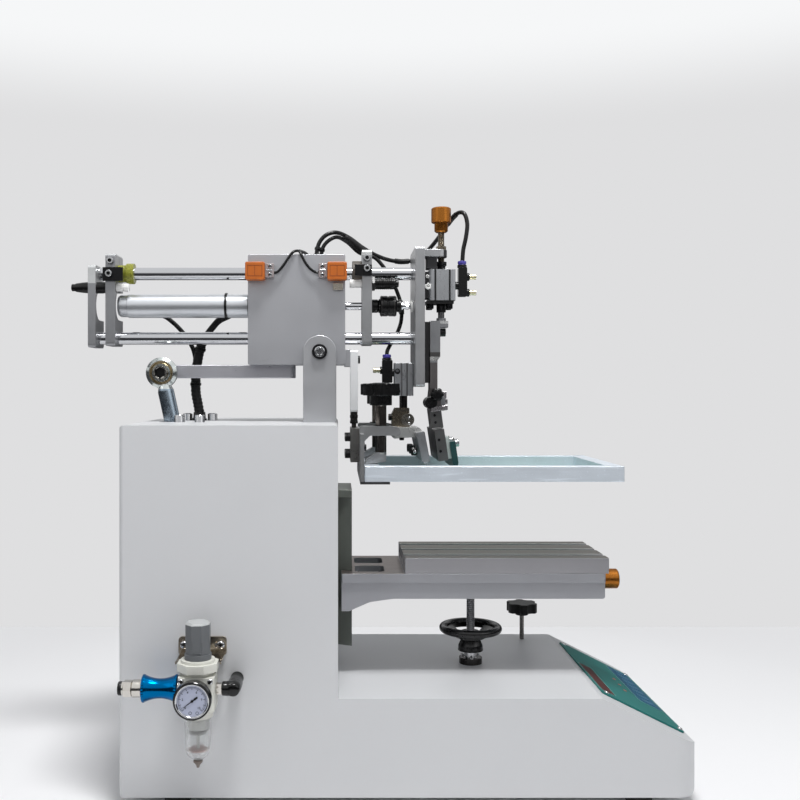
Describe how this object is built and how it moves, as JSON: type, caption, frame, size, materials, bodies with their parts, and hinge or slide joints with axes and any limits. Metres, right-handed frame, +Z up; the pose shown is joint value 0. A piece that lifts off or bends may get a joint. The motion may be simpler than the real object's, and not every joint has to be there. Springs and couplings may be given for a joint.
{
  "type": "pneumatic flat screen printing machine",
  "caption": "Bench-top pneumatic flat screen printer: L-shaped housing, tilting head with a sliding print carriage, screen frame, and a slotted table on a handwheel-lifted knee.",
  "frame": {"origin": "on the floor, at the centre of the base's footprint", "axes": "+X towards the operator's control panel, +Y to the side away from the air unit, +Z up"},
  "size_m": [0.7428, 0.3735, 0.7039],
  "materials": {
    "housing_paint": "fine satin powder coat",
    "foot_rubber": "matte",
    "panel_film": "satin membrane",
    "black_steel": "black oxide",
    "cast_grey": "machined casting",
    "steel": "turned",
    "black_plastic": "satin moulded",
    "grey_plastic": "moulded",
    "clear_bowl": "clear moulded plastic",
    "gauge_case": "pale dial in a dark case",
    "nickel": "nickel plate",
    "blue_anodised": "blue anodised",
    "hose": "smooth hose",
    "aluminium": "bead-blasted anodised",
    "sensor_orange": "moulded",
    "bright_aluminium": "clear anodised",
    "frame_aluminium": "extruded",
    "screen_mesh": "coated polyester mesh",
    "chrome": "ground and plated",
    "squeegee_rubber": "matte",
    "gold_anodised": "knurled, gold-brown anodised",
    "table_steel": "ground"
  },
  "bodies": {
    "root": {"housing": "housing_paint", "feet": "foot_rubber", "control_panel": "panel_film", "pivot_ears": "housing_paint", "pivot_pin": "black_steel", "column_slide": "cast_grey", "wheel_bearing": "steel", "stop_knob": "black_plastic", "regulator_body": "grey_plastic", "regulator_knob": "grey_plastic", "filter_bowl": "clear_bowl", "pressure_gauge": "gauge_case", "regulator_bracket": "nickel", "air_fittings": "blue_anodised", "column_harness": "hose"},
    "head": {"head_block": "aluminium", "lever_bar": "housing_paint", "stroke_cylinder": "aluminium", "position_sensors": "sensor_orange", "screen_hanger": "bright_aluminium", "screen_holder": "aluminium", "screen_frame": "frame_aluminium", "screen_mesh": "screen_mesh"},
    "rod_end": {"rod_end": "nickel"},
    "carriage": {"slide_rods": "chrome", "rear_plates": "aluminium", "front_stop_plate": "aluminium", "end_stops": "black_plastic", "piston_coupling": "black_steel", "front_plate": "aluminium", "squeegee_cylinder": "aluminium", "squeegee_guide": "black_steel", "flood_cylinder": "aluminium", "speed_controllers": "black_plastic", "top_harness": "hose"},
    "squeegee": {"squeegee_arm": "aluminium", "squeegee_holder": "aluminium", "squeegee_blade": "squeegee_rubber"},
    "flood": {"flood_arm": "aluminium", "flood_blade": "steel"},
    "pressure_knob": {"pressure_knob": "gold_anodised"},
    "star_knob_near": {"star_knob_near": "black_plastic"},
    "star_knob_far": {"star_knob_far": "black_plastic"},
    "knee": {"knee": "cast_grey", "lift_screw": "steel"},
    "handwheel": {"handwheel": "black_plastic"},
    "feed_knob": {"feed_knob": "gold_anodised"},
    "table": {"table": "table_steel"}
  },
  "joints": [
    {"name": "head_tilt", "type": "hinge", "parent": "root", "child": "head", "pos_m": [-0.1035, 0, 0.5195], "axis": [0, -1, 0], "range_deg": [0, 10], "deforming": ["column_harness"]},
    {"name": "rod_end_swing", "type": "hinge", "parent": "head", "child": "rod_end", "pos_m": [-0.302, -0.015, 0.494], "axis": [0, 1, 0], "range_deg": [0, 10]},
    {"name": "carriage_stroke", "type": "slide", "parent": "head", "child": "carriage", "axis": [1, 0, 0], "range_m": [0, 0.14], "deforming": ["top_harness"]},
    {"name": "squeegee_lift", "type": "slide", "parent": "carriage", "child": "squeegee", "axis": [0, 0, -1], "range_m": [0, 0.01]},
    {"name": "flood_lift", "type": "slide", "parent": "carriage", "child": "flood", "axis": [0, 0, -1], "range_m": [0, 0.008]},
    {"name": "pressure_knob_turn", "type": "hinge", "parent": "carriage", "child": "pressure_knob", "pos_m": [0.05, 0, 0.69], "axis": [0, 0, 1], "continuous": true},
    {"name": "star_knob_near_turn", "type": "hinge", "parent": "head", "child": "star_knob_near", "pos_m": [-0.029, -0.055, 0.47], "axis": [0, 0, 1], "continuous": true},
    {"name": "star_knob_far_turn", "type": "hinge", "parent": "head", "child": "star_knob_far", "pos_m": [-0.029, 0.055, 0.47], "axis": [0, 0, 1], "continuous": true},
    {"name": "handwheel_turn", "type": "hinge", "parent": "root", "child": "handwheel", "pos_m": [0.0873, 0, 0.16], "axis": [0, 0, 1], "range_deg": [-1805, 6755]},
    {"name": "table_lift", "type": "slide", "parent": "root", "child": "knee", "axis": [0, 0, 1], "range_m": [-0.02, 0.075]},
    {"name": "feed_knob_turn", "type": "hinge", "parent": "knee", "child": "feed_knob", "pos_m": [0.2423, 0, 0.233], "axis": [1, 0, 0], "range_deg": [-3605, 3605]},
    {"name": "table_feed", "type": "slide", "parent": "knee", "child": "table", "axis": [1, 0, 0], "range_m": [-0.015, 0.015]}
  ],
  "couplings": [
    {"joint": "rod_end_swing", "follows": "head_tilt", "ratio": 1},
    {"joint": "handwheel_turn", "follows": "table_lift", "rad_per_m": 1570.8},
    {"joint": "feed_knob_turn", "follows": "table_feed", "rad_per_m": 4188.8}
  ]
}
